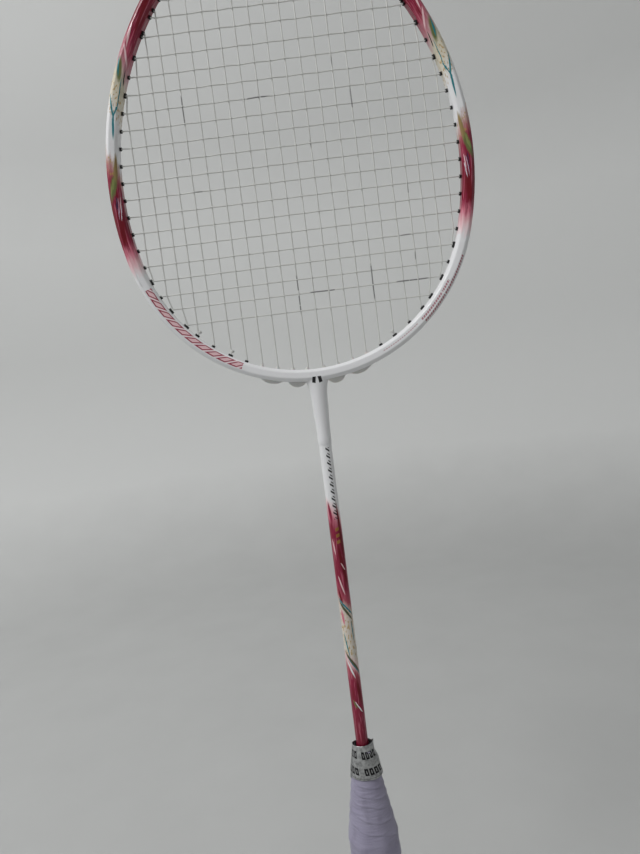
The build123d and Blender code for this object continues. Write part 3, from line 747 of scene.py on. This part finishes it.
def tape_point(wound, share):
    """A point of the tape, by the turns wound so far and the share of its width from the foot."""
    angle = math.tau * (wound - TAPE_START)
    around = Vector((math.sin(angle), math.cos(angle), 0.0))
    edge = noise.noise((around + Vector((0, 0, wound))) * 1.7)
    corner = near(angle, CORNER_ANGLE, 0.12)
    foot = TAPE_FOOT - TAPE_DROP * wound + 0.35 * edge
    head = TAPE_HEAD + 0.4 * edge + CORNER_RISE * corner
    head = part_way(head, NARROW_HEAD, clamp((wound - NARROW_FROM) / 0.12))
    z = part_way(foot, head, share)
    crease = noise.noise(around * 1.5 + Vector((0, 0, z * 0.35)))
    lump = near(angle, LUMP_ANGLE, 0.5) * clamp((LUMP_TOP - z) / 2.5)
    lifted_corner = corner * max(0.0, z - PRESSED_FROM)
    relief = 0.18 * crease + LUMP_HEIGHT * lump + 0.12 * lifted_corner
    proud = TAPE_PROUD + TAPE_LAYER * wound + relief
    point = grip_point(angle, min(z, TAPE_SUPPORT), proud)
    point.z += max(0.0, z - TAPE_SUPPORT)
    pressed = PRESSED_FRONT if point.y < 0 else PRESSED_BACK
    point.y *= 1.0 - pressed * max(0.0, point.z - PRESSED_FROM)
    return point


def make_tape():
    """Two and a bit turns of tape. The last one is narrower, and the rim stands past the cone."""
    columns = 420
    rows = 40
    strips = []
    for row in range(rows + 1):
        windings = [TAPE_TURNS * column / columns for column in range(columns + 1)]
        strips.append([tape_point(wound, row / rows) for wound in windings])
    piece = skin("finishing_tape_wrap", strips, closed=False)
    thick = piece.modifiers.new("thickness", "SOLIDIFY")
    thick.thickness = TAPE_THICKNESS
    thick.offset = -1.0
    return piece


# ---------------------------------------------------------------------------------------------
# Studio
# ---------------------------------------------------------------------------------------------
def make_studio():
    """A round pale floor that curves up into a pale wall on every side, open above."""
    radius, bend, height = 1.7, 0.6, 2.4
    bend_steps = 12
    columns = 96
    profile = [(0.02, 0.0), (0.4, 0.0), (0.8, 0.0), (radius - bend, 0.0)]
    for step in range(1, bend_steps + 1):
        angle = math.pi / 2 * step / bend_steps
        profile.append((radius - bend + bend * math.sin(angle), bend - bend * math.cos(angle)))
    profile.append((radius, height))
    rings = []
    for out, z in profile:
        ring = []
        for step in range(columns):
            angle = math.tau * step / columns
            ring.append(Vector((out * math.cos(angle), out * math.sin(angle), z)) * 1000)
        rings.append(ring)
    studio = skin("studio_floor", rings)
    graph = Graph("studio_paper")
    # The paper is painted darker on the floor and a little darker near the top of the wall. This is painted
    # shade that keeps the floor under the lamps from coming out brighter than the wall, and the noise
    # wobbles where these bands lie.
    shade_wobble = graph.noise(scale=0.01, detail=3.0) * 60.0
    colour = graph.bands(
        graph.z + shade_wobble,
        -100.0,
        1300.0,
        [
            (0.0, tint(182, 183, 182)),
            (250.0, tint(214, 215, 214)),
            (950.0, tint(211, 212, 211)),
            (1250.0, tint(198, 199, 198)),
        ],
    )
    graph.colour(colour)
    graph.roughness(0.8, 0.95, graph.noise(scale=0.05))
    studio.data.materials.append(graph.material)


def make_light(name, place, target, size, power):
    """A round soft light, with its place and width in metres and its power in watts."""
    data = bpy.data.lights.new(name, "AREA")
    data.shape = "DISK"
    data.size = size
    data.energy = power
    light = bpy.data.objects.new(name, data)
    light.location = place
    light.rotation_euler = (Vector(target) - Vector(place)).to_track_quat("-Z", "Y").to_euler()
    scene.collection.objects.link(light)


def make_lights():
    """A dim sky, a light from the upper left, and one on the wall behind."""
    world = bpy.data.worlds.new("soft_sky")
    world.use_nodes = True
    background = world.node_tree.nodes["Background"]
    background.inputs["Color"].default_value = (0.97, 0.98, 1.0, 1.0)
    background.inputs["Strength"].default_value = 0.15
    scene.world = world
    make_light("key_light", place=(-0.85, -0.75, 1.75), target=(0.0, 0.0, 0.45), size=0.5, power=14.0)
    make_light("wall_light", place=(-0.9, 0.1, 2.3), target=(-0.9, 1.5, 1.0), size=1.6, power=21.0)


CAMERA_PLACE = (-0.00018, -0.35594, 0.42698)
CAMERA_AHEAD = (-0.004081, 0.998085, -0.061720)
CAMERA_UP = (0.123573, 0.061751, 0.990412)
CAMERA_LENS = 27.02


def make_camera():
    """Close in front of the string bed, level with the throat and looking slightly down."""
    data = bpy.data.cameras.new("camera")
    data.sensor_width = 36.0
    data.lens = CAMERA_LENS
    data.clip_start = 0.01
    camera = bpy.data.objects.new("camera", data)
    scene.collection.objects.link(camera)
    ahead = Vector(CAMERA_AHEAD).normalized()
    right = ahead.cross(Vector(CAMERA_UP)).normalized()
    up = right.cross(ahead)
    turn = Matrix((right, up, -ahead)).transposed().to_4x4()
    camera.matrix_world = Matrix.Translation(CAMERA_PLACE) @ turn
    scene.camera = camera


# ---------------------------------------------------------------------------------------------
# Putting it together
# ---------------------------------------------------------------------------------------------
def dress(material, *nodes):
    """Gives a material to every slot of some CAD nodes."""
    for node in nodes:
        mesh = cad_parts[node].data
        if not mesh.materials:
            mesh.materials.append(material)
        for index in range(len(mesh.materials)):
            mesh.materials[index] = material


def add_wrap(piece, material, node):
    """Puts a wound piece in the place of the CAD's plain sleeve."""
    piece.data.materials.append(material)
    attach(piece, "root")
    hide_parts(node)


make_camera()
make_lights()
make_studio()

black = moulded("black_nylon", tint(16, 16, 17), tint(30, 30, 31), 0.28, 0.42)
translucent = {"Subsurface Weight": 0.2, "Subsurface Scale": 0.001}
milky = moulded("white_nylon", tint(206, 206, 204), tint(222, 222, 220), settings=translucent)
dress(hoop_paint(), "head_frame")
dress(shaft_paint(), "shaft")
dress(string_nylon("main_string_nylon", False), "main_string")
dress(string_nylon("cross_string_nylon", True), "cross_string", "tie_off_knots")
dress(black, "side_grommets", "top_grommets", "lower_grommets", "shared_grommets", "long_grommets")
dress(milky, "throat_grommets_inner", "throat_grommets_outer")
dress(moulded("joint_nylon", tint(60, 60, 62), tint(84, 84, 86)), "t_joint")
dress(moulded("cone_plastic", tint(30, 30, 32), tint(48, 48, 50), 0.4, 0.6), "cone_cap")
dress(moulded("cap_plastic", tint(222, 222, 222), tint(236, 236, 236)), "butt_cap")
dress(wood(), "handle_core")
dress(foam(), "base_grip")
dress(tape_under(), "base_grip_tape")
dress(steel(), "butt_staples")
dress(badge_foil(), "butt_badge")
add_wrap(make_grip(), film(), "overgrip")
add_wrap(make_tape(), silver_tape(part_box("finishing_tape")), "finishing_tape")

scene.view_settings.view_transform = "Standard"
